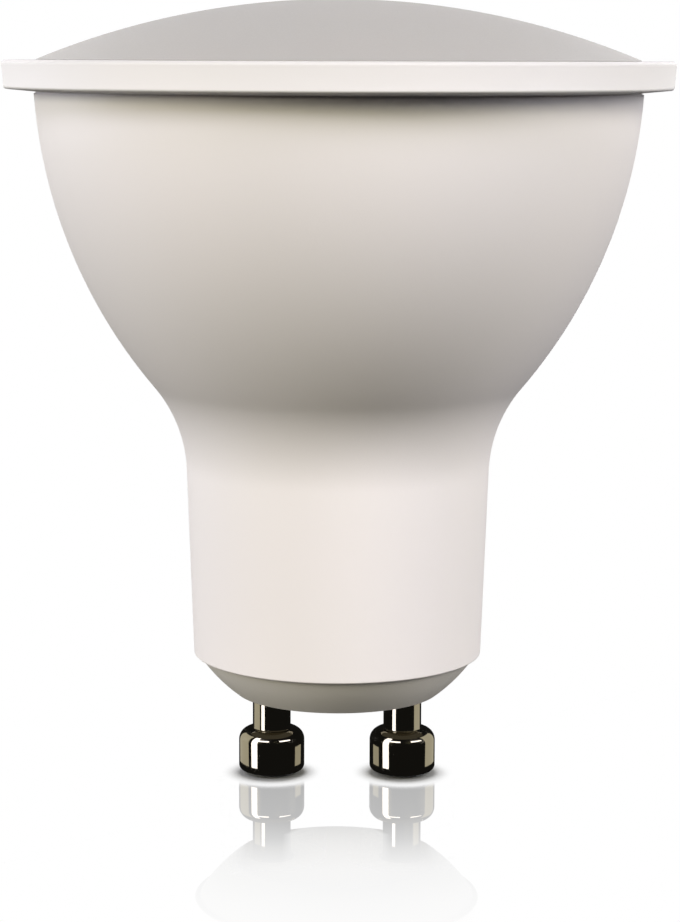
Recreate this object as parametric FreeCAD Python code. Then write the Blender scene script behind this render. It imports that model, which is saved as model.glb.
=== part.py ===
import FreeCAD, Part
import math
import os

# A spotlight bulb with a two-pin twist-lock base, standing on the ends of its pins.
# Lengths are millimetres and angles are degrees. +Z runs along the axis towards the beam,
# the pins lie along X, and the origin is on the axis in the plane of the pins' ends.

# Heights, stacked from the pins' ends to the crown of the diffuser
pin_reach = 6.3             # pins' ends to the face of the base cap
cap_depth = 2.95            # face of the base cap to its seam with the neck
body_height = 42.5          # seam to the mouth of the bell
ring_thickness = 2.3        # mouth of the bell to the ring's front face
dome_rise = 4.55            # ring's front face to the crown

# Bell and neck
bowl_radius = 38.15         # curve of the bowl's side
mouth_lean = 3.6            # lean of the bowl's side at the mouth
mouth_wall = 0.75           # wall round the recess for the ring's skirt
waist_radius = 10.65        # hollow curve from the bowl into the neck
neck_draft = 2.15           # taper of the neck
foot_diameter = 21.8        # neck at the seam, before its edge is rounded
foot_round = 0.15           # outer edge of the neck's foot
foot_wall = 2.2             # wall round the socket for the base cap

# Front ring
ring_diameter = 50.0        # widest, just behind the front edge
ring_overhang = 2.35        # ring beyond the mouth of the bell
ring_draft = 5.0            # taper of the ring's edge towards the back
ring_back_rise = 0.25       # underside of the overhang, from the mouth out to the ring's edge
ring_front_round = 0.3
ring_back_round = 0.15
skirt_length = 2.0          # part of the ring inside the bell
skirt_wall = 1.25
ledge_width = 1.3           # step in the ring that carries the diffuser
ledge_depth = 1.2           # ring's front face to the step

# Diffuser
diffuser_wall = 1.5         # at the crown
diffuser_edge = 0.3         # upright edge above the ring's front face

# Base cap
cap_step = 0.35             # seam edge of the cap inside the edge of the foot
cap_bulge = 0.17            # flank beyond a straight cone
cap_face_margin = 1.3       # flat of the face beyond the pins
cap_edge_round = 0.2
spigot_length = 4.0         # part of the cap inside the neck

# Contact pins
pin_pitch = 10.0
stem_diameter = 2.9
stem_root = 5.0             # part of the stem inside the base cap
head_diameter = 5.0
head_height = 3.25
shoulder_round = 0.92       # upper edge of the head
stem_round = 0.1            # corner between head and stem
head_end_round = 0.4

# Fits
slip = 0.05                 # gap all round a piece in its socket
relief = 0.2                # gap past the end of a skirt or spigot

# Places that follow from the sizes
cap_face_z = pin_reach
seam_z = cap_face_z + cap_depth
mouth_z = seam_z + body_height
front_z = mouth_z + ring_thickness
ledge_z = front_z - ledge_depth
crown_z = front_z + dome_rise

ring_r = ring_diameter / 2
mouth_r = ring_r - ring_overhang
recess_r = mouth_r - mouth_wall
skirt_r = recess_r - slip
ring_bore_r = skirt_r - skirt_wall
seat_r = ring_bore_r + ledge_width
diffuser_r = seat_r - slip

foot_r = foot_diameter / 2
socket_r = foot_r - foot_wall
spigot_r = socket_r - slip
stem_r = stem_diameter / 2
head_r = head_diameter / 2
cap_seam_r = foot_r - cap_step
cap_face_r = pin_pitch / 2 + stem_r + cap_face_margin

axis_base = FreeCAD.Vector(0, 0, 0)
axis_up = FreeCAD.Vector(0, 0, 1)
same_place = 1e-4           # two edges closer than this are one


def point(r, z):
    """Point of a half section, at radius r and height z."""
    return FreeCAD.Vector(r, 0, z)


def lines(*corners):
    """Straight edges from corner to corner of a half section."""
    ends = zip(corners, corners[1:])
    return [Part.LineSegment(point(*a), point(*b)).toShape() for a, b in ends]


def arc(start, middle, end):
    """Round edge of a half section through three points."""
    return Part.Arc(point(*start), point(*middle), point(*end)).toShape()


def turned(edges):
    """Solid made by turning a closed half section about the axis."""
    section = Part.Face(Part.Wire(edges))
    return section.revolve(axis_base, axis_up, 360)


def softened(solid, radius, height, size):
    """The solid with its round edge at this radius and height filleted."""
    def is_edge(edge):
        curve = edge.Curve
        if not isinstance(curve, Part.Circle):
            return False
        return abs(curve.Radius - radius) < same_place and abs(curve.Center.z - height) < same_place
    return solid.makeFillet(size, [edge for edge in solid.Edges if is_edge(edge)])


def crowned(start, crown_height):
    """Arc from a point of the half section to the axis, level where it meets the axis."""
    start_r, start_height = start
    rise = crown_height - start_height
    sphere_r = (start_r ** 2 + rise ** 2) / (2 * rise)
    half_turn = math.atan2(start_r, sphere_r - rise) / 2
    middle = (sphere_r * math.sin(half_turn), crown_height - sphere_r * (1 - math.cos(half_turn)))
    return arc(start, middle, (0, crown_height))


def on_circle(centre, radius, angle):
    """Point of a circle in the half section, with the angle in radians from the outward direction."""
    return (centre[0] + radius * math.cos(angle), centre[1] + radius * math.sin(angle))


def bell_side():
    """Outer side of the bell from the foot of the neck to the mouth: neck, waist curve and bowl.

    The waist curve touches the neck's straight side and the bowl's arc, so its centre lies
    waist_radius outside both.
    """
    lean = math.radians(mouth_lean)
    draft = math.radians(neck_draft)
    bowl_centre = (mouth_r - bowl_radius * math.cos(lean), mouth_z + bowl_radius * math.sin(lean))
    up = (math.sin(draft), math.cos(draft))
    out = (math.cos(draft), -math.sin(draft))
    # The neck's side moved out by waist_radius, cut by a circle round the bowl's centre
    offset_r = foot_r + out[0] * waist_radius - bowl_centre[0]
    offset_z = seam_z + out[1] * waist_radius - bowl_centre[1]
    reach = bowl_radius + waist_radius
    along = offset_r * up[0] + offset_z * up[1]
    neck_length = -along - math.sqrt(along ** 2 - offset_r ** 2 - offset_z ** 2 + reach ** 2)
    neck_top = (foot_r + up[0] * neck_length, seam_z + up[1] * neck_length)
    waist_centre = (neck_top[0] + out[0] * waist_radius, neck_top[1] + out[1] * waist_radius)
    meet = math.atan2(waist_centre[1] - bowl_centre[1], waist_centre[0] - bowl_centre[0])
    bowl_foot = on_circle(bowl_centre, bowl_radius, meet)
    waist_middle = on_circle(waist_centre, waist_radius, math.pi + (meet - draft) / 2)
    bowl_middle = on_circle(bowl_centre, bowl_radius, (meet - lean) / 2)
    neck = lines((foot_r, seam_z), neck_top)
    waist = arc(neck_top, waist_middle, bowl_foot)
    bowl = arc(bowl_foot, bowl_middle, (mouth_r, mouth_z))
    return neck + [waist, bowl]


def make_housing():
    """Sealed bell and neck, with a recess in the mouth and a socket in the foot."""
    recess_z = mouth_z - skirt_length - relief
    socket_z = seam_z + spigot_length + relief
    inside = lines(
        (mouth_r, mouth_z),
        (recess_r, mouth_z),
        (recess_r, recess_z),
        (0, recess_z),
        (0, socket_z),
        (socket_r, socket_z),
        (socket_r, seam_z),
        (foot_r, seam_z),
    )
    return softened(turned(bell_side() + inside), foot_r, seam_z, foot_round)


def make_front_ring():
    """Ring that caps the mouth, with a skirt inside the bell and a step for the diffuser.

    Its tapered edge and its front face would meet at corner_r, a little outside the widest
    place of the rounded edge. Outside the mouth its underside rises to back_z.
    """
    draft = math.radians(ring_draft)
    taper = math.tan(draft)
    corner_r = ring_r + ring_front_round * (math.cos(draft) - 1 + (1 + math.sin(draft)) * taper)
    back_z = mouth_z + ring_back_rise
    back_r = corner_r - (front_z - back_z) * taper
    skirt_z = mouth_z - skirt_length
    ring = turned(lines(
        (ring_bore_r, skirt_z),
        (skirt_r, skirt_z),
        (skirt_r, mouth_z),
        (mouth_r, mouth_z),
        (back_r, back_z),
        (corner_r, front_z),
        (seat_r, front_z),
        (seat_r, ledge_z),
        (ring_bore_r, ledge_z),
        (ring_bore_r, skirt_z),
    ))
    ring = softened(ring, corner_r, front_z, ring_front_round)
    return softened(ring, back_r, back_z, ring_back_round)


def make_diffuser():
    """Domed cover that stands on the ring's step and is thin at the crown."""
    inner_crown_z = crown_z - diffuser_wall
    edge_z = front_z + diffuser_edge
    outer = crowned((diffuser_r, edge_z), crown_z)
    inner = crowned((ring_bore_r, ledge_z), inner_crown_z)
    foot = lines((ring_bore_r, ledge_z), (diffuser_r, ledge_z), (diffuser_r, edge_z))
    core = lines((0, crown_z), (0, inner_crown_z))
    return turned(foot + [outer] + core + [inner])


def make_base_cap():
    """Cap in the foot of the neck, with holes for the pins."""
    flank_r = cap_seam_r - cap_face_r
    flank_length = math.hypot(flank_r, cap_depth)
    flank_middle = (
        (cap_seam_r + cap_face_r) / 2 + cap_bulge * cap_depth / flank_length,
        (seam_z + cap_face_z) / 2 - cap_bulge * flank_r / flank_length,
    )
    flank = arc((cap_face_r, cap_face_z), flank_middle, (cap_seam_r, seam_z))
    spigot_z = seam_z + spigot_length
    rest = lines(
        (cap_seam_r, seam_z),
        (spigot_r, seam_z),
        (spigot_r, spigot_z),
        (0, spigot_z),
        (0, cap_face_z),
        (cap_face_r, cap_face_z),
    )
    cap = softened(turned([flank] + rest), cap_face_r, cap_face_z, cap_edge_round)
    hole = Part.makeCylinder(stem_r + slip, stem_root, point(0, cap_face_z), axis_up)
    for side in (-1, 1):
        cap = cap.cut(hole.translated(point(side * pin_pitch / 2, 0)))
    return cap


def make_contact_pin(side):
    """Twist-lock pin: a stem set in the base cap, with a larger head that locks in the holder."""
    stem_z = cap_face_z + stem_root
    pin = turned(lines(
        (0, 0),
        (head_r, 0),
        (head_r, head_height),
        (stem_r, head_height),
        (stem_r, stem_z),
        (0, stem_z),
        (0, 0),
    ))
    pin = softened(pin, head_r, 0, head_end_round)
    pin = softened(pin, head_r, head_height, shoulder_round)
    pin = softened(pin, stem_r, head_height, stem_round)
    return pin.translated(point(side * pin_pitch / 2, 0))


def main():
    """Build each piece and write it to a file of its own."""
    pieces = {
        "housing": make_housing(),
        "front_ring": make_front_ring(),
        "diffuser": make_diffuser(),
        "base_cap": make_base_cap(),
        "contact_pin_left": make_contact_pin(-1),
        "contact_pin_right": make_contact_pin(1),
    }
    os.makedirs("parts", exist_ok=True)
    for name, solid in pieces.items():
        solid.exportStep(f"parts/{name}.step")
        print(name, "volume", round(solid.Volume, 2), "valid", solid.isValid())


main()
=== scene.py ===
"""A two-pin spotlight bulb: its turned pieces, their finishes, a small studio and the camera."""
import logging
import math
from dataclasses import dataclass
from enum import Enum
from typing import Any, Union

import bpy
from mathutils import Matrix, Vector


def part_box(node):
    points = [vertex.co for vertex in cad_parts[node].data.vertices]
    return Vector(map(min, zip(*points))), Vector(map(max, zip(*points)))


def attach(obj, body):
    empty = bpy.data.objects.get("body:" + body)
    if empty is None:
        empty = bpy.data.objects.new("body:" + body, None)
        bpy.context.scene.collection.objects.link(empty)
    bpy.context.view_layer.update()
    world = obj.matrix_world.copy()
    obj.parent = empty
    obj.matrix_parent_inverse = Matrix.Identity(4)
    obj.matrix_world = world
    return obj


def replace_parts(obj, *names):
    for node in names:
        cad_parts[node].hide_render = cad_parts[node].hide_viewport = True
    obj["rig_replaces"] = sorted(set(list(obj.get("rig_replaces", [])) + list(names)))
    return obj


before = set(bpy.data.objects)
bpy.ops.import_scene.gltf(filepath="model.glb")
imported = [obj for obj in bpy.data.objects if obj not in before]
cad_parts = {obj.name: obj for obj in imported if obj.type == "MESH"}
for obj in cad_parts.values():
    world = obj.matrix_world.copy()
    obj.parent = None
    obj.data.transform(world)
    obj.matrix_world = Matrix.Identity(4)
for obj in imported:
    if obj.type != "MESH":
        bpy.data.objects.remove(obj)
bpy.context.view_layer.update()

log = logging.getLogger("spotlight_bulb")
MM = 0.001
MERGE_GAP = 1e-7
BODY = "root"

Point = tuple[float, float]
Colour = tuple[float, float, float]
Stretch = tuple[float, float, float]


def nothing_selected() -> None:
    """Leave edit mode if need be and deselect every object."""
    if bpy.context.object is not None and bpy.context.object.mode != "OBJECT":
        bpy.ops.object.mode_set(mode="OBJECT")
    bpy.ops.object.select_all(action="DESELECT")


def only(piece: bpy.types.Object) -> None:
    """Select one object and make it the active one.

    Args:
        piece: the object to work on.
    """
    nothing_selected()
    piece.select_set(True)
    bpy.context.view_layer.objects.active = piece


class Pen:
    """Draws a half section in the X-Z plane in edit mode, and turns it about an upright axis."""

    def __init__(self, name: str, start: Point) -> None:
        """Start a section from a small plane shrunk to one vertex.

        Args:
            name: name of the piece.
            start: radius and height of the first point, in metres.
        """
        nothing_selected()
        bpy.ops.mesh.primitive_plane_add(size=MM, location=(start[0], 0, start[1]))
        self.piece = bpy.context.object
        self.piece.name = name
        self.piece.data.name = name
        bpy.ops.object.transform_apply(location=True)
        bpy.ops.object.mode_set(mode="EDIT")
        bpy.ops.mesh.select_mode(type="VERT")
        bpy.ops.mesh.select_all(action="SELECT")
        bpy.ops.mesh.merge(type="CENTER")
        self.at = start

    def line(self, *points: Point) -> "Pen":
        """Extrude the last vertex straight to each point in turn.

        Args:
            points: radius and height of each point.

        Returns:
            The pen, for the next stroke.
        """
        for r, z in points:
            step = (r - self.at[0], 0, z - self.at[1])
            bpy.ops.mesh.extrude_region_move(TRANSFORM_OT_translate={"value": step})
            self.at = (r, z)
        return self

    def arc(self, centre: Point, end: Point, steps: int) -> "Pen":
        """Spin the last vertex round a centre to an end point, the short way.

        Args:
            centre: radius and height of the arc's centre.
            end: where the arc ends.
            steps: how many straight edges make the arc.

        Returns:
            The pen, for the next stroke.
        """
        from_angle = math.atan2(self.at[1] - centre[1], self.at[0] - centre[0])
        to_angle = math.atan2(end[1] - centre[1], end[0] - centre[0])
        sweep = math.remainder(to_angle - from_angle, math.tau)
        bpy.ops.mesh.spin(
            steps=steps,
            angle=abs(sweep),
            center=(centre[0], 0, centre[1]),
            axis=(0, math.copysign(1, sweep), 0),
        )
        self.at = end
        return self

    def corner(self, corner: Point, after: Point, radius: float, steps: int = 6) -> "Pen":
        """Draw to a corner and round it, ready to go on towards the point after it.

        Args:
            corner: the sharp corner.
            after: a point on the line that leaves the corner.
            radius: radius of the rounding.
            steps: how many edges make the rounding.

        Returns:
            The pen, for the next stroke.
        """
        here = Vector(corner)
        back = (Vector(self.at) - here).normalized()
        ahead = (Vector(after) - here).normalized()
        half = back.angle(ahead) / 2
        cut = radius / math.tan(half)
        centre = here + (back + ahead).normalized() * (radius / math.sin(half))
        first = here + back * cut
        last = here + ahead * cut
        self.line(tuple(first))
        return self.arc(tuple(centre), tuple(last), steps)

    def turn(self, segments: int, axis_x: float = 0.0) -> bpy.types.Object:
        """Spin the section once round, close it and leave edit mode.

        Args:
            segments: how many facets go round.
            axis_x: where the upright axis crosses the X axis.

        Returns:
            The finished mesh object.
        """
        bpy.ops.mesh.select_all(action="SELECT")
        bpy.ops.mesh.spin(steps=segments, angle=math.tau, center=(axis_x, 0, 0), axis=(0, 0, 1))
        bpy.ops.mesh.select_all(action="SELECT")
        bpy.ops.mesh.remove_doubles(threshold=MERGE_GAP)
        bpy.ops.mesh.normals_make_consistent(inside=False)
        bpy.ops.object.mode_set(mode="OBJECT")
        return self.piece


class Value:
    """An output socket that takes part in Python arithmetic by adding Math nodes."""

    def __init__(self, tree: "Tree", socket: bpy.types.NodeSocket) -> None:
        """Wrap a socket.

        Args:
            tree: the tree that the socket belongs to.
            socket: an output socket of one of its nodes.
        """
        self.tree = tree
        self.socket = socket

    def _math(self, operation: str, first: "Operand", second: "Operand") -> "Value":
        """Add a Math node.

        Args:
            operation: the node's operation.
            first: its first number or value.
            second: its second number or value.

        Returns:
            The node's result.
        """
        return self.tree.add("ShaderNodeMath", {"operation": operation}, {0: first, 1: second})

    def __add__(self, other: "Operand") -> "Value":
        """This plus other."""
        return self._math("ADD", self, other)

    def __sub__(self, other: "Operand") -> "Value":
        """This minus other."""
        return self._math("SUBTRACT", self, other)

    def __rsub__(self, other: "Operand") -> "Value":
        """Other minus this."""
        return self._math("SUBTRACT", other, self)

    def __mul__(self, other: "Operand") -> "Value":
        """This times other."""
        return self._math("MULTIPLY", self, other)

    def __truediv__(self, other: "Operand") -> "Value":
        """This over other."""
        return self._math("DIVIDE", self, other)

    def most(self, other: "Operand") -> "Value":
        """The larger of this and other."""
        return self._math("MAXIMUM", self, other)

    def size(self) -> "Value":
        """This without its sign."""
        return self._math("ABSOLUTE", self, 0.0)

    def clamped(self) -> "Value":
        """This kept between 0 and 1."""
        return self._math("MINIMUM", self.most(0.0), 1.0)

    __radd__ = __add__
    __rmul__ = __mul__


Operand = Union[Value, float]


class Tree:
    """A material's or world's node tree, filled one node at a time."""

    def __init__(self, owner: bpy.types.ID) -> None:
        """Empty the owner's tree and add an output.

        Args:
            owner: a material or a world.
        """
        owner.use_nodes = True
        self.nodes = owner.node_tree.nodes
        self.links = owner.node_tree.links
        self.nodes.clear()
        is_world = isinstance(owner, bpy.types.World)
        kind = "ShaderNodeOutputWorld" if is_world else "ShaderNodeOutputMaterial"
        self.output = self.nodes.new(kind)

    def add(self, kind: str, settings: dict[str, Any] | None = None,
            inputs: dict[Any, Any] | None = None, result: Any = 0) -> Value:
        """Add one node.

        Args:
            kind: the node's type.
            settings: its own properties, with "stops" for a ramp's places and colours.
            inputs: values or links for its sockets, by name or number.
            result: name or number of the output to hand back.

        Returns:
            That output.
        """
        node = self.nodes.new(kind)
        for key, setting in (settings or {}).items():
            if key == "stops":
                self._set_stops(node.color_ramp, setting)
            else:
                setattr(node, key, setting)
        for key, given in (inputs or {}).items():
            if isinstance(given, Value):
                self.links.new(given.socket, node.inputs[key])
            else:
                node.inputs[key].default_value = given
        return Value(self, node.outputs[result])

    @staticmethod
    def _set_stops(ramp: bpy.types.ColorRamp, stops: list[tuple[float, Colour]]) -> None:
        """Give a ramp its stops.

        Args:
            ramp: a new ramp, which has two stops.
            stops: place and colour of each stop.
        """
        while len(ramp.elements) < len(stops):
            ramp.elements.new(1.0)
        for element, (place, colour) in zip(ramp.elements, stops):
            element.position = place
            element.color = (*colour, 1.0)

    def place(self) -> Value:
        """Object coordinates of the shaded point."""
        return self.add("ShaderNodeTexCoord", result="Object")

    def noise(self, size: float, detail: float, stretch: Stretch = (1.0, 1.0, 1.0)) -> Value:
        """Add soft noise on Object coordinates.

        Args:
            size: breadth of its patches, in metres.
            detail: how many finer layers it has.
            stretch: how much denser it is along each axis.

        Returns:
            A number round 0.5.
        """
        where = self.add("ShaderNodeMapping", {}, {"Vector": self.place(), "Scale": stretch})
        inputs = {"Vector": where, "Scale": 1 / size, "Detail": detail}
        return self.add("ShaderNodeTexNoise", {}, inputs)

    def blend(self, share: Operand, first: Any, second: Any) -> Value:
        """Mix two colours.

        Args:
            share: share of the second colour.
            first: colour at 0.
            second: colour at 1.

        Returns:
            The mixed colour.
        """
        inputs = {0: share, 6: first, 7: second}
        return self.add("ShaderNodeMix", {"data_type": "RGBA"}, inputs, result=2)

    def bump(self, height: Value, depth: float) -> Value:
        """Turn a height into a bent normal.

        Args:
            height: number from 0 to 1.
            depth: what a height of 1 stands for, in metres.

        Returns:
            The normal.
        """
        return self.add("ShaderNodeBump", {}, {"Height": height, "Distance": depth, "Strength": 1.0})

    def surface(self, shader: Value) -> None:
        """Make a shader the tree's result."""
        self.links.new(shader.socket, self.output.inputs["Surface"])


def opaque(colour: Colour) -> tuple[float, float, float, float]:
    """The colour with full cover."""
    return (*colour, 1.0)


@dataclass(frozen=True)
class MouldedPlastic:
    """Opaque moulded plastic with a fine spark-eroded grain and a faint change of tone."""

    name: str
    colour: Colour
    shade: Colour
    roughness: float
    grain_size: float
    grain_depth: float
    gloss: float = 0.35
    index: float = 1.46
    cloud_size: float = 14 * MM
    grain_sheen: float = 0.16
    cloud_sheen: float = 0.08

    def tone(self, tree: Tree, cloud: Value) -> Value:
        """Colour of the plastic.

        Args:
            tree: the material's tree.
            cloud: broad soft noise.

        Returns:
            The colour.
        """
        return tree.blend(cloud, opaque(self.colour), opaque(self.shade))

    def material(self) -> bpy.types.Material:
        """Build the node material.

        Returns:
            The material.
        """
        material = bpy.data.materials.new(self.name)
        tree = Tree(material)
        cloud = tree.noise(self.cloud_size, detail=1.0)
        fine = tree.noise(self.grain_size, detail=3.0)
        sheen = (fine - 0.5) * self.grain_sheen + (cloud - 0.5) * self.cloud_sheen
        tree.surface(tree.add("ShaderNodeBsdfPrincipled", {}, {
            "Base Color": self.tone(tree, cloud),
            "Roughness": sheen + self.roughness,
            "Normal": tree.bump(fine, self.grain_depth),
            "IOR": self.index,
            "Specular IOR Level": self.gloss,
        }))
        return material


@dataclass(frozen=True)
class RingPlasticWithPaintedShade(MouldedPlastic):
    """Moulded plastic with painted shade: greyer on the front face and its rounded edge than on the
    side.
    """

    # Painted shade: the greyer colour of the front face and its rounded edge, with where it starts
    # below the front and how softly it blends in
    front: Colour = (0.57, 0.547, 0.538)
    painted_shade_depth: float = 0.31 * MM
    painted_shade_blend: float = 0.2 * MM

    def tone(self, tree: Tree, cloud: Value) -> Value:
        """Colour of the plastic, which turns to the painted shade's colour over the rounded edge.

        Args:
            tree: the material's tree.
            cloud: broad soft noise.

        Returns:
            The colour.
        """
        # The painted shade starts a little below the ring's front and blends in upwards
        start_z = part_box("front_ring")[1].z - self.painted_shade_depth
        height = tree.add("ShaderNodeSeparateXYZ", {}, {0: tree.place()}, result="Z")
        share = ((height - start_z) / self.painted_shade_blend).clamped()
        return tree.blend(share, super().tone(tree, cloud), opaque(self.front))


@dataclass(frozen=True)
class OpalPlastic:
    """Milky light-spreading plastic with a frosted skin."""

    name: str
    colour: Colour
    shade: Colour
    roughness: float
    gloss: float
    frost_size: float
    frost_depth: float
    index: float = 1.5
    cloud_size: float = 9 * MM
    frost_sheen: float = 0.2
    milk: float = 0.25
    milk_depth: float = 1.2 * MM
    milk_tint: Colour = (1.0, 0.9, 0.8)

    def material(self) -> bpy.types.Material:
        """Build the node material.

        Returns:
            The material.
        """
        material = bpy.data.materials.new(self.name)
        tree = Tree(material)
        cloud = tree.noise(self.cloud_size, detail=1.0)
        frost = tree.noise(self.frost_size, detail=4.0)
        tree.surface(tree.add("ShaderNodeBsdfPrincipled", {}, {
            "Base Color": tree.blend(cloud, opaque(self.colour), opaque(self.shade)),
            "Roughness": self.roughness + (frost - 0.5) * self.frost_sheen,
            "Normal": tree.bump(frost, self.frost_depth),
            "IOR": self.index,
            "Specular IOR Level": self.gloss,
            "Subsurface Weight": self.milk,
            "Subsurface Radius": self.milk_tint,
            "Subsurface Scale": self.milk_depth,
        }))
        return material


@dataclass(frozen=True)
class BrightPlate:
    """Bright plated metal with fine turning rings."""

    name: str
    colour: Colour
    tarnish: Colour
    roughness: float
    ring_pitch: float
    ring_depth: float
    cloud_size: float = 1.6 * MM
    cloud_sheen: float = 0.06
    ring_sheen: float = 0.04
    around: Stretch = (0.02, 0.02, 1.0)

    def material(self) -> bpy.types.Material:
        """Build the node material.

        Returns:
            The material.
        """
        material = bpy.data.materials.new(self.name)
        tree = Tree(material)
        cloud = tree.noise(self.cloud_size, detail=2.0)
        rings = tree.noise(self.ring_pitch, detail=1.0, stretch=self.around)
        sheen = (cloud - 0.5) * self.cloud_sheen + (rings - 0.5) * self.ring_sheen
        tree.surface(tree.add("ShaderNodeBsdfPrincipled", {}, {
            "Base Color": tree.blend(cloud, opaque(self.colour), opaque(self.tarnish)),
            "Roughness": sheen + self.roughness,
            "Normal": tree.bump(rings, self.ring_depth),
            "Metallic": 1.0,
        }))
        return material


WHITE_BODY = MouldedPlastic(
    "white_body", (0.83, 0.78, 0.767), (0.80, 0.758, 0.746),
    roughness=0.45, grain_size=0.16 * MM, grain_depth=0.004 * MM,
)
# The ring's plastic, with painted shade on its front face and rounded edge
WHITE_RING = RingPlasticWithPaintedShade(
    "white_ring", (0.73, 0.70, 0.69), (0.715, 0.69, 0.68),
    roughness=0.55, grain_size=0.14 * MM, grain_depth=0.0025 * MM,
)
CAP_WHITE = MouldedPlastic(
    "cap_white", (0.74, 0.70, 0.65), (0.70, 0.67, 0.63),
    roughness=0.46, grain_size=0.18 * MM, grain_depth=0.005 * MM,
)
OPAL = OpalPlastic(
    "opal", (0.335, 0.316, 0.297), (0.322, 0.308, 0.292),
    roughness=0.5, gloss=0.4, frost_size=0.12 * MM, frost_depth=0.004 * MM,
)
NICKEL = BrightPlate(
    "nickel_plate", (0.56, 0.51, 0.40), (0.50, 0.45, 0.34),
    roughness=0.07, ring_pitch=0.05 * MM, ring_depth=0.0004 * MM,
)


class Slot(Enum):
    """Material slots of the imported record."""

    BODY = "body_plastic"
    RING = "ring_plastic"
    DOME = "opal_dome"
    CAP = "cap_plastic"
    PIN = "plated_pin"


Finish = Union[MouldedPlastic, OpalPlastic, BrightPlate]


@dataclass
class Turned:
    """A piece that is turned about an upright axis and stands for a CAD node."""

    node: str
    name: str
    slot: Slot
    finish: Finish
    segments: int = 256
    smooth_angle: float = math.radians(28)

    def dress(self, piece: bpy.types.Object) -> bpy.types.Object:
        """Smooth a finished mesh, give it its finish and put it on the lamp.

        Args:
            piece: the finished mesh.

        Returns:
            The same object.
        """
        only(piece)
        bpy.ops.object.shade_smooth_by_angle(angle=self.smooth_angle)
        piece.data.materials.clear()
        piece.data.materials.append(bpy.data.materials.get(self.finish.name) or self.finish.material())
        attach(piece, BODY)
        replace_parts(piece, self.node)
        log.info("%s stands for %s with %d faces", piece.name, self.node, len(piece.data.polygons))
        return piece


@dataclass
class Bell(Turned):
    """The bell and neck: a tapered neck, a hollow waist curve and a bowl of one curve."""

    bowl_radius: float = 38.15 * MM
    mouth_lean: float = math.radians(3.6)
    mouth_wall: float = 0.75 * MM
    gap_height: float = 0.16 * MM
    gap_depth: float = 0.14 * MM
    waist_radius: float = 10.65 * MM
    neck_draft: float = math.radians(2.15)
    foot_radius: float = 10.9 * MM
    foot_round: float = 0.15 * MM
    foot_wall: float = 2.2 * MM
    recess_depth: float = 2.2 * MM
    socket_depth: float = 4.2 * MM

    def build(self) -> bpy.types.Object:
        """Draw the section up the outside to the shadow gap, over the mouth and back inside.

        Returns:
            The dressed piece.
        """
        low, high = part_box(self.node)
        foot_z, mouth_z, mouth_r = low.z, high.z, high.x
        bowl_centre = (
            mouth_r - self.bowl_radius * math.cos(self.mouth_lean),
            mouth_z + self.bowl_radius * math.sin(self.mouth_lean),
        )
        up = Vector((math.sin(self.neck_draft), math.cos(self.neck_draft)))
        out = Vector((math.cos(self.neck_draft), -math.sin(self.neck_draft)))
        foot = Vector((self.foot_radius, foot_z))
        # The waist curve's centre lies waist_radius outside both the neck's side and the bowl's arc
        offset = foot + out * self.waist_radius - Vector(bowl_centre)
        along = offset.dot(up)
        reach = self.bowl_radius + self.waist_radius
        neck_length = -along - math.sqrt(along ** 2 - offset.length_squared + reach ** 2)
        neck_top = foot + up * neck_length
        waist_centre = neck_top + out * self.waist_radius
        towards = (waist_centre - Vector(bowl_centre)).normalized()
        bowl_foot = Vector(bowl_centre) + towards * self.bowl_radius
        recess_r = mouth_r - self.mouth_wall
        recess_z = mouth_z - self.recess_depth
        socket_r = self.foot_radius - self.foot_wall
        socket_z = foot_z + self.socket_depth
        pen = Pen(self.name, (0, socket_z))
        pen.line((socket_r, socket_z), (socket_r, foot_z))
        pen.corner(tuple(foot), tuple(neck_top), self.foot_round, steps=8)
        pen.line(tuple(neck_top))
        pen.arc(tuple(waist_centre), tuple(bowl_foot), steps=24)
        gap_z = mouth_z - self.gap_height
        gap_r = bowl_centre[0] + math.sqrt(self.bowl_radius ** 2 - (gap_z - bowl_centre[1]) ** 2)
        pen.arc(bowl_centre, (gap_r, gap_z), steps=60)
        pen.line((mouth_r - self.gap_depth, gap_z), (mouth_r - self.gap_depth, mouth_z))
        pen.line((recess_r, mouth_z), (recess_r, recess_z), (0, recess_z))
        return self.dress(pen.turn(self.segments))


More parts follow.
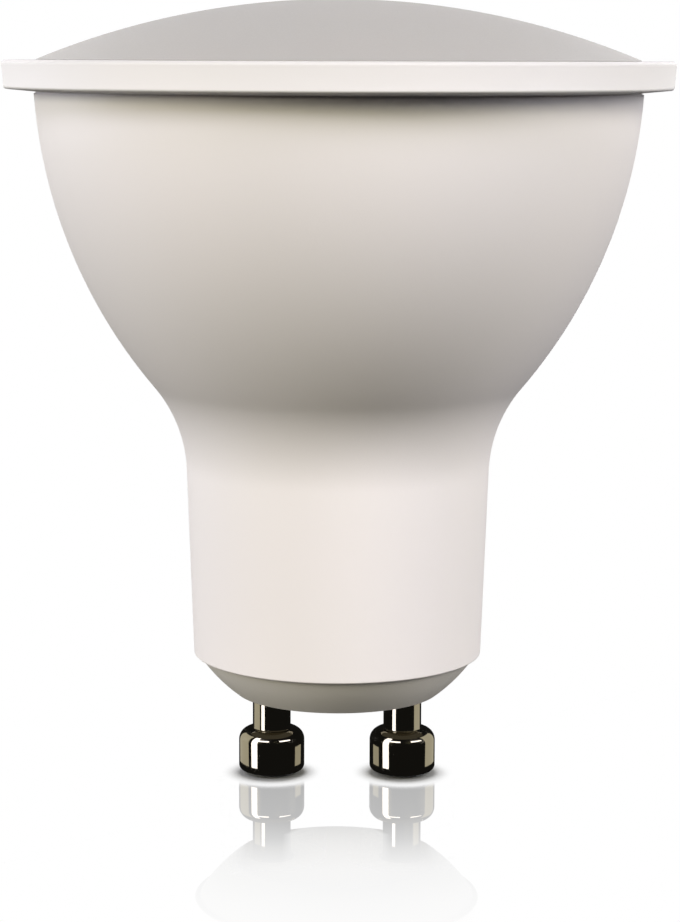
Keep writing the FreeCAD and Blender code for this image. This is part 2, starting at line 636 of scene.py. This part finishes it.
@dataclass
class FrontRing(Turned):
    """The ring that caps the bell, with a skirt inside it and a step that carries the dome."""

    draft: float = math.radians(5)
    front_round: float = 0.28 * MM
    back_rise: float = 0.2 * MM
    bead_radius: float = 0.22 * MM
    bead_top: float = math.radians(12)
    lip_round: float = 0.12 * MM
    skirt_length: float = 2.0 * MM
    skirt_wall: float = 1.25 * MM
    seat_gap: float = 0.05 * MM

    def build(self) -> bpy.types.Object:
        """Draw the section from the skirt out under the ring, round its beaded edge and in to the step.

        Returns:
            The dressed piece.
        """
        low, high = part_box(self.node)
        dome_low, dome_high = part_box("diffuser")
        front_z, skirt_z = high.z, low.z
        mouth_z = skirt_z + self.skirt_length
        mouth_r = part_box("housing")[1].x
        skirt_r = mouth_r - Bell.mouth_wall - self.seat_gap
        bore_r = skirt_r - self.skirt_wall
        seat_r = dome_high.x + self.seat_gap
        taper = math.tan(self.draft)
        spread = math.cos(self.draft) - 1 + (1 + math.sin(self.draft)) * taper
        corner_r = high.x + self.front_round * spread
        back_r = corner_r - (front_z - mouth_z - self.back_rise) * taper
        lift = math.atan2(self.back_rise, back_r - mouth_r)
        # The bead's circle touches the slanted underside and ends on the tapered edge
        base_z = mouth_z - mouth_r * math.tan(lift) + self.bead_radius / math.cos(lift)
        top_r = self.bead_radius * math.cos(self.bead_top)
        top_z = self.bead_radius * math.sin(self.bead_top)
        bead_r = (corner_r - top_r - (front_z - base_z - top_z) * taper) / (1 - math.tan(lift) * taper)
        bead_z = base_z + bead_r * math.tan(lift)
        foot_r = bead_r + self.bead_radius * math.sin(lift)
        foot_z = bead_z - self.bead_radius * math.cos(lift)
        pen = Pen(self.name, (bore_r, skirt_z))
        pen.line((skirt_r, skirt_z), (skirt_r, mouth_z), (mouth_r, mouth_z), (foot_r, foot_z))
        pen.arc((bead_r, bead_z), (bead_r + top_r, bead_z + top_z), steps=10)
        pen.corner((corner_r, front_z), (seat_r, front_z), self.front_round, steps=8)
        pen.corner((seat_r, front_z), (seat_r, dome_low.z), self.lip_round, steps=4)
        pen.line((seat_r, dome_low.z), (bore_r, dome_low.z), (bore_r, skirt_z))
        return self.dress(pen.turn(self.segments))


@dataclass
class Dome(Turned):
    """The shallow opal cover: a crowned shell on the ring's step, with a lip over the ring's front."""

    wall: float = 1.5 * MM
    foot_width: float = 1.25 * MM
    edge_rise: float = 0.3 * MM
    lip_edge: float = 0.05 * MM
    lip_gap: float = 0.01 * MM
    clear: float = 0.002 * MM

    def build(self) -> bpy.types.Object:
        """Draw the section from the foot over the crown and back under it.

        Returns:
            The dressed piece.
        """
        low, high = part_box(self.node)
        ring_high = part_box("front_ring")[1]
        edge = (high.x, ring_high.z + self.edge_rise)
        crown = (0.0, high.z - self.clear)
        inner_foot = (high.x - self.foot_width, low.z)
        inner_crown = (0.0, crown[1] - self.wall)
        outer_centre = self.sphere_centre(edge, crown)
        inner_centre = self.sphere_centre(inner_foot, inner_crown)
        lip_z = ring_high.z + self.lip_gap
        edge_z = lip_z + self.lip_edge
        sphere_r = crown[1] - outer_centre[1]
        lip_r = math.sqrt(sphere_r ** 2 - (edge_z - outer_centre[1]) ** 2)
        pen = Pen(self.name, inner_foot)
        pen.line((high.x, low.z), (high.x, lip_z), (lip_r, lip_z), (lip_r, edge_z))
        pen.arc(outer_centre, crown, steps=56)
        pen.line(inner_crown)
        pen.arc(inner_centre, inner_foot, steps=40)
        return self.dress(pen.turn(self.segments))

    @staticmethod
    def sphere_centre(edge: Point, crown: Point) -> Point:
        """Centre of the sphere through a crown on the axis and an edge below it.

        Args:
            edge: radius and height of the edge.
            crown: radius and height of the crown.

        Returns:
            Radius and height of the centre, which is on the axis.
        """
        rise = crown[1] - edge[1]
        radius = (edge[0] ** 2 + rise ** 2) / (2 * rise)
        return (0.0, crown[1] - radius)


@dataclass
class BaseCap(Turned):
    """The cap in the foot of the neck, with a bulged flank and holes for the pins."""

    seam_radius: float = 10.55 * MM
    face_margin: float = 1.3 * MM
    bulge: float = 0.17 * MM
    edge_round: float = 0.2 * MM
    spigot_gap: float = 0.05 * MM
    hole_gap: float = 0.05 * MM
    hole_depth: float = 5.0 * MM
    hole_flare: float = 0.25 * MM

    def build(self) -> bpy.types.Object:
        """Turn the cap and cut the two pin holes.

        Returns:
            The dressed piece.
        """
        low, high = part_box(self.node)
        pin_low, pin_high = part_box("contact_pin_right")
        pin_x = (pin_low.x + pin_high.x) / 2
        hole_r = Pin.stem_radius + self.hole_gap
        face_r = pin_x + Pin.stem_radius + self.face_margin
        face_z = low.z
        seam_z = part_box("housing")[0].z
        spigot_r = Bell.foot_radius - Bell.foot_wall - self.spigot_gap
        flank = Vector((self.seam_radius - face_r, seam_z - face_z))
        half_chord = flank.length / 2
        flank_radius = (half_chord ** 2 + self.bulge ** 2) / (2 * self.bulge)
        inward = Vector((-flank.y, flank.x)).normalized()
        middle = Vector((face_r, face_z)) + flank / 2
        centre = middle + inward * (flank_radius - self.bulge)
        start_out = Vector((face_r, face_z)) - centre
        leave = Vector((-start_out.y, start_out.x)).normalized() * MM
        pen = Pen(self.name, (0, face_z))
        pen.corner((face_r, face_z), (face_r + leave.x, face_z + leave.y), self.edge_round)
        pen.arc(tuple(centre), (self.seam_radius, seam_z), steps=14)
        pen.line((spigot_r, seam_z), (spigot_r, high.z), (0, high.z))
        cap = pen.turn(self.segments)
        for side in (-1, 1):
            self.cut_hole(cap, side * pin_x, hole_r, face_z)
        return self.dress(cap)

    def cut_hole(self, cap: bpy.types.Object, x: float, radius: float, face_z: float) -> None:
        """Cut one pin hole with a flared mouth.

        Args:
            cap: the turned cap.
            x: where the hole's axis crosses the X axis.
            radius: radius of the hole.
            face_z: height of the cap's face.
        """
        below = face_z - MM
        pen = Pen("hole_cutter", (x, below))
        pen.line(
            (x + radius + self.hole_flare, below),
            (x + radius + self.hole_flare, face_z),
            (x + radius, face_z + self.hole_flare),
            (x + radius, face_z + self.hole_depth),
            (x, face_z + self.hole_depth),
        )
        cutter = pen.turn(segments=96, axis_x=x)
        only(cap)
        cut = cap.modifiers.new("hole", "BOOLEAN")
        cut.operation = "DIFFERENCE"
        cut.solver = "EXACT"
        cut.object = cutter
        bpy.ops.object.modifier_apply(modifier=cut.name)
        bpy.data.objects.remove(cutter)


@dataclass
class Pin(Turned):
    """A twist-lock pin: a stem in the base cap with a larger rounded head."""

    stem_radius: float = 1.45 * MM
    head_height: float = 3.25 * MM
    shoulder_round: float = 0.92 * MM
    stem_round: float = 0.1 * MM
    end_round: float = 0.4 * MM

    def build(self) -> bpy.types.Object:
        """Turn the pin about its own axis.

        Returns:
            The dressed piece.
        """
        low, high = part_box(self.node)
        x = (low.x + high.x) / 2
        head_x = high.x
        stem_x = x + self.stem_radius
        head_z = low.z + self.head_height
        pen = Pen(self.name, (x, low.z))
        pen.corner((head_x, low.z), (head_x, head_z), self.end_round, steps=8)
        pen.corner((head_x, head_z), (stem_x, head_z), self.shoulder_round, steps=12)
        pen.corner((stem_x, head_z), (stem_x, high.z), self.stem_round)
        pen.line((stem_x, high.z), (x, high.z))
        return self.dress(pen.turn(self.segments, x))

    def copy_to(self, pin: bpy.types.Object, node: str, name: str) -> bpy.types.Object:
        """Copy a finished pin to the place of another node.

        Args:
            pin: the pin to copy.
            node: the node that the copy stands for.
            name: name of the copy.

        Returns:
            The dressed copy.
        """
        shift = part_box(node)[0].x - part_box(self.node)[0].x
        only(pin)
        bpy.ops.object.duplicate()
        copy = bpy.context.object
        copy.name = name
        copy.data.name = name
        del copy["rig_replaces"]
        bpy.ops.object.mode_set(mode="EDIT")
        bpy.ops.mesh.select_all(action="SELECT")
        bpy.ops.transform.translate(value=(shift, 0, 0))
        bpy.ops.object.mode_set(mode="OBJECT")
        twin = Pin(node, name, self.slot, self.finish, self.segments)
        return twin.dress(copy)


# Tint and beam of the small lights under the lamp
FILL: Colour = (1.0, 0.97, 0.9)
FILL_BEAM = math.radians(75)


@dataclass(frozen=True)
class SoftBox:
    """A rectangular studio light that faces the lamp.

    Its azimuth is degrees to the right of the camera, and its elevation is degrees above level.
    """

    name: str
    azimuth: float
    elevation: float
    power: float
    colour: Colour = (1.0, 1.0, 1.0)
    distance: float = 0.60
    width: float = 0.30
    height: float = 0.20
    aim_height: float = 30 * MM
    spread: float = math.pi
    mirrored: bool = True

    def build(self) -> bpy.types.Object:
        """Add the light, facing a point of the lamp's axis.

        Returns:
            The light.
        """
        aim = Vector((0, 0, self.aim_height))
        turn = math.radians(self.azimuth)
        rise = math.radians(self.elevation)
        level = math.cos(rise)
        back = Vector((math.sin(turn) * level, -math.cos(turn) * level, math.sin(rise)))
        nothing_selected()
        bpy.ops.object.light_add(type="AREA", location=aim + back * self.distance)
        light = bpy.context.object
        light.name = self.name
        light.rotation_euler = (-back).to_track_quat("-Z", "Y").to_euler()
        light.data.shape = "RECTANGLE"
        light.data.size = self.width
        light.data.size_y = self.height
        light.data.spread = self.spread
        light.data.energy = self.power
        light.data.color = self.colour
        light.visible_camera = False
        light.visible_glossy = self.mirrored
        return light


@dataclass(frozen=True)
class Card:
    """A curved card close round a pin, which nothing but the pin's metal mirrors: a painted reflection,
    dark, or glowing as a painted highlight.

    Its lengths are millimetres, and its angles are degrees to the right of the camera.
    """

    name: str
    radius: float
    start: float
    end: float
    low: float
    high: float
    colour: Colour
    reach: float
    sided: bool = False

    def build(self, x: float) -> bpy.types.Object:
        """Bend the card round a pin. A sided card stands the other way round on the right pin.

        Args:
            x: where the pin's axis crosses the X axis.

        Returns:
            The card.
        """
        start = -self.end if self.sided and x > 0 else self.start
        inner = 0.0 if self.high == self.low else self.radius
        pen = Pen(self.name, (inner * MM, self.low * MM))
        pen.line((self.radius * MM, self.high * MM))
        bpy.ops.mesh.select_all(action="SELECT")
        sweep = math.radians(self.end - self.start)
        bpy.ops.mesh.spin(steps=36, angle=sweep, center=(0, 0, 0), axis=(0, 0, -1))
        bpy.ops.object.mode_set(mode="OBJECT")
        card = pen.piece
        card.location.x = x
        card.rotation_euler.z = math.radians(start - 90)
        card.data.materials.append(bpy.data.materials.get(self.name) or self.material())
        card.visible_camera = False
        card.visible_diffuse = False
        card.visible_transmission = False
        card.visible_shadow = False
        return card

    def material(self) -> bpy.types.Material:
        """Build a glowing material that is clear from afar and to the table's sharp mirror; its glow
        paints the pin's reflection.

        Returns:
            The material.
        """
        material = bpy.data.materials.new(self.name)
        tree = Tree(material)
        length = tree.add("ShaderNodeLightPath", result="Ray Length")
        sharp = tree.add("ShaderNodeLightPath", result="Is Singular Ray")
        far = tree.add("ShaderNodeMath", {"operation": "GREATER_THAN"}, {0: length, 1: self.reach * MM})
        glow = tree.add("ShaderNodeEmission", {}, {"Color": opaque(self.colour), "Strength": 1.0})
        clear = tree.add("ShaderNodeBsdfTransparent")
        tree.surface(tree.add("ShaderNodeMixShader", {}, {0: far.most(sharp), 1: glow, 2: clear}))
        material.cycles.emission_sampling = "NONE"
        return material


@dataclass
class Studio:
    """A white table, soft boxes, cards round the pins that paint their dark reflections and highlights,
    and a plain white surround.

    The pairs of mirror_fade are distances from the lamp's axis, as shares of mirror_reach, and
    how strong the table's mirror image is there.
    """

    table_size: float = 6.0
    table_gap: float = 0.3 * MM
    table_shade: Colour = (0.3, 0.3, 0.3)
    shadow_reach: float = 2.4 * MM
    mirror_reach: float = 50 * MM
    mirror_fade: tuple[tuple[float, float], ...] = (
        (0.0, 0.54), (0.26, 0.52), (0.36, 0.36), (0.48, 0.2), (0.62, 0.12), (1.0, 0.0),
    )
    coat_ior: float = 1.45
    coat_gain: float = 4.5
    shadow_from: float = 0.55
    shadow_gain: float = 3.5
    mirror_from: float = 0.85
    mirror_gain: float = 9.0
    column_half: float = 2.7 * MM
    column_edge: float = 0.5 * MM
    head_reach: float = 14 * MM
    head_fade: float = 2 * MM
    stem_reach: float = 17 * MM
    stem_fade: float = 7 * MM
    between: float = 0.65
    table_bounce: Colour = (0.02, 0.02, 0.02)
    ambient: float = 0.01
    sheen: float = 0.75
    lights: tuple[SoftBox, ...] = (
        SoftBox("left_key", -55, 16, 1.94, (1.0, 0.963, 0.76)),
        SoftBox("left_high", -30, 38, 1.92, (0.86, 0.87, 1.0)),
        SoftBox("left_edge", -110, 8, 1.45, (0.82, 0.86, 1.0), height=0.25),
        SoftBox("right_key", 30, 28, 1.03, (1.0, 0.96, 0.68)),
        SoftBox("right_high", 55, 38, 1.56, (0.985, 0.98, 1.0)),
        SoftBox("right_edge", 80, 16, 1.71, (0.94, 0.945, 1.0)),
        SoftBox("top_front", 0, 58, 0.72, (0.76, 0.72, 1.0)),
        SoftBox("back_left", -145, 9, 1.0, height=0.25, mirrored=False),
        SoftBox("back_right", 145, 9, 1.0, height=0.25, mirrored=False),
        SoftBox("dome_left", -145, 25, 0.65, height=0.25),
        SoftBox("dome_right", 145, 25, 0.65, height=0.25),
        SoftBox("dome_back", 180, 50, 0.14, height=0.25),
        SoftBox("cap_left", -52, -15, 0.0001, FILL, distance=0.027, width=0.03, height=0.004,
                aim_height=8.5 * MM, spread=FILL_BEAM, mirrored=False),
        SoftBox("cap_right", 50, -15, 0.000085, FILL, distance=0.027, width=0.03, height=0.004,
                aim_height=8.5 * MM, spread=FILL_BEAM, mirrored=False),
        SoftBox("face_fill", 0, -89, 0.0005, FILL, distance=0.0058, width=0.012, height=0.012,
                aim_height=6.3 * MM, mirrored=False),
    )
    # The cards paint the pins' reflections: black floor and wall and a dark warm ceiling for painted
    # shade, white strips and patches for painted highlights, greys for painted side reflections
    cards: tuple[Card, ...] = (
        Card("black_floor", 4.2, 0, 360, 0.02, 0.02, (0.01, 0.01, 0.01), 3.4),
        Card("black_wall", 4.2, 0, 360, 0.0, 7.0, (0.01, 0.01, 0.01), 6.2),
        Card("ceiling", 4.2, 0, 360, 6.25, 6.25, (0.07, 0.063, 0.049), 4.5),
        Card("white_strip", 4.0, -52, -35, 0.0, 6.9, (3.0, 3.0, 3.4), 3.4),
        Card("left_patch", 4.0, -52, -6, 3.5, 4.1, (3.0, 3.0, 3.4), 2.2),
        Card("right_patch", 4.0, 22, 54, 3.5, 4.1, (3.0, 3.0, 3.4), 2.2),
        Card("outer_grey", 4.0, -110, -62, 0.0, 6.9, (0.6, 0.58, 0.5), 3.4, sided=True),
        Card("inner_grey", 4.0, 66, 92, 0.0, 1.7, (0.5, 0.48, 0.4), 3.4, sided=True),
    )

    def build(self) -> None:
        """Add the table, the surround, the cards round both pins and the lights."""
        self.add_table()
        self.add_surround()
        for node in ("contact_pin_left", "contact_pin_right"):
            low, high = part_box(node)
            for card in self.cards:
                card.build((low.x + high.x) / 2)
        for light in self.lights:
            light.build()
            log.info("light %s", light.name)

    @staticmethod
    def seen_directly(tree: Tree) -> Value:
        """One for camera, clear and sharply mirrored rays, nought for rays that carry soft light.

        Args:
            tree: the tree that asks.

        Returns:
            The mask.
        """
        camera = tree.add("ShaderNodeLightPath", result="Is Camera Ray")
        sharp = tree.add("ShaderNodeLightPath", result="Is Singular Ray")
        clear = tree.add("ShaderNodeLightPath", result="Is Transmission Ray")
        return camera.most(sharp).most(clear)

    def add_table(self) -> None:
        """Lay the table: white where seen, with a painted contact shadow of the lamp over its real
        shadow, and a mirror image that fades.
        """
        nothing_selected()
        bpy.ops.mesh.primitive_plane_add(size=self.table_size, location=(0, 0, -self.table_gap))
        table = bpy.context.object
        table.name = "table"
        material = bpy.data.materials.new("white_table")
        tree = Tree(material)
        lit = tree.add("ShaderNodeBsdfDiffuse", {}, {"Color": opaque(self.table_shade)})
        glow = tree.add("ShaderNodeEmission", {}, {"Color": opaque((1, 1, 1)), "Strength": 1.0})
        # Painted shadow: near the lamp, by ambient occlusion, the table turns from white glow to a grey
        # diffuse, which also takes the lights' real shadow
        reach_of_shadow = {"Distance": self.shadow_reach}
        near = tree.add("ShaderNodeAmbientOcclusion", {"samples": 16}, reach_of_shadow, result="AO")
        open_air = ((near - self.shadow_from) * self.shadow_gain).clamped()
        white = tree.add("ShaderNodeMixShader", {}, {0: open_air, 1: lit, 2: glow})
        mirror = tree.add("ShaderNodeBsdfGlossy", {}, {"Color": opaque((1, 1, 1)), "Roughness": 0.0})
        where = {0: tree.place()}
        reach = tree.add("ShaderNodeVectorMath", {"operation": "LENGTH"}, where, result="Value")
        stops = [(place, (share, share, share)) for place, share in self.mirror_fade]
        fade = tree.add("ShaderNodeValToRGB", {"stops": stops}, {0: reach / self.mirror_reach})
        coat = (tree.add("ShaderNodeFresnel", {}, {"IOR": self.coat_ior}) * self.coat_gain).clamped()
        past_shadow = ((near - self.mirror_from) * self.mirror_gain).clamped()
        share = self.columns(tree) * fade * coat * past_shadow
        seen = tree.add("ShaderNodeMixShader", {}, {0: share, 1: white, 2: mirror})
        bounce = tree.add("ShaderNodeBsdfDiffuse", {}, {"Color": opaque(self.table_bounce)})
        mask = self.seen_directly(tree)
        tree.surface(tree.add("ShaderNodeMixShader", {}, {0: mask, 1: bounce, 2: seen}))
        table.data.materials.append(material)

    def columns(self, tree: Tree) -> Value:
        """Share of the mirror in line with each pin, as broad as its head and further off as its stem.

        Args:
            tree: the table's tree.

        Returns:
            One in the columns and the share between them elsewhere.
        """
        pin_low, pin_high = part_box("contact_pin_right")
        pin_x = (pin_low.x + pin_high.x) / 2
        x = tree.add("ShaderNodeSeparateXYZ", {}, {0: tree.place()}, result="X")
        y = tree.add("ShaderNodeSeparateXYZ", {}, {0: tree.place()}, result="Y")
        past_head = ((y.size() - self.head_reach) / self.head_fade).clamped()
        half = self.column_half - past_head * (self.column_half - Pin.stem_radius)
        aside = (x.size() - pin_x).size()
        past_stem = ((y.size() - self.stem_reach) / self.stem_fade).clamped()
        inside = ((half - aside) / self.column_edge + 0.5).clamped() * (1 - past_stem)
        return inside * (1 - self.between) + self.between

    def add_surround(self) -> None:
        """Make the world white where seen, grey in rough mirrors and a low soft light elsewhere."""
        world = bpy.data.worlds.new("surround")
        bpy.context.scene.world = world
        tree = Tree(world)
        plain = opaque((1, 1, 1))
        white = tree.add("ShaderNodeBackground", {}, {"Color": plain, "Strength": 1.0})
        soft = tree.add("ShaderNodeBackground", {}, {"Color": plain, "Strength": self.ambient})
        grey = tree.add("ShaderNodeBackground", {}, {"Color": plain, "Strength": self.sheen})
        glossy = tree.add("ShaderNodeLightPath", result="Is Glossy Ray")
        unseen = tree.add("ShaderNodeMixShader", {}, {0: glossy, 1: soft, 2: grey})
        mask = self.seen_directly(tree)
        tree.surface(tree.add("ShaderNodeMixShader", {}, {0: mask, 1: unseen, 2: white}))


@dataclass
class Viewpoint:
    """The camera: level with the ring, tipped a little down, its frame shifted down to the lamp."""

    distance: float = 194.2 * MM
    height: float = 54.39 * MM
    sideways: float = 0.07 * MM
    tip: float = math.radians(6.081)
    roll: float = math.radians(-0.18)
    lens: float = 101.14
    sensor: float = 36.0
    shift: float = -0.14

    def build(self) -> None:
        """Add the camera and make it the scene's."""
        nothing_selected()
        bpy.ops.object.camera_add(
            location=(self.sideways, -self.distance, self.height),
            rotation=(math.pi / 2 - self.tip, self.roll, 0),
        )
        camera = bpy.context.object
        camera.data.lens = self.lens
        camera.data.sensor_width = self.sensor
        camera.data.shift_y = self.shift
        camera.data.clip_start = MM
        bpy.context.scene.camera = camera


def main() -> None:
    """Build the lamp's pieces, then the studio and the camera."""
    logging.basicConfig(level=logging.INFO)
    bpy.context.scene.view_settings.view_transform = "Standard"
    Bell("housing", "bell_housing", Slot.BODY, WHITE_BODY).build()
    FrontRing("front_ring", "rim_ring", Slot.RING, WHITE_RING).build()
    Dome("diffuser", "opal_cover", Slot.DOME, OPAL).build()
    BaseCap("base_cap", "pin_cap", Slot.CAP, CAP_WHITE).build()
    pin = Pin("contact_pin_left", "pin_left", Slot.PIN, NICKEL, segments=128)
    pin.copy_to(pin.build(), "contact_pin_right", "pin_right")
    Studio().build()
    Viewpoint().build()


if __name__ == "__main__":
    main()
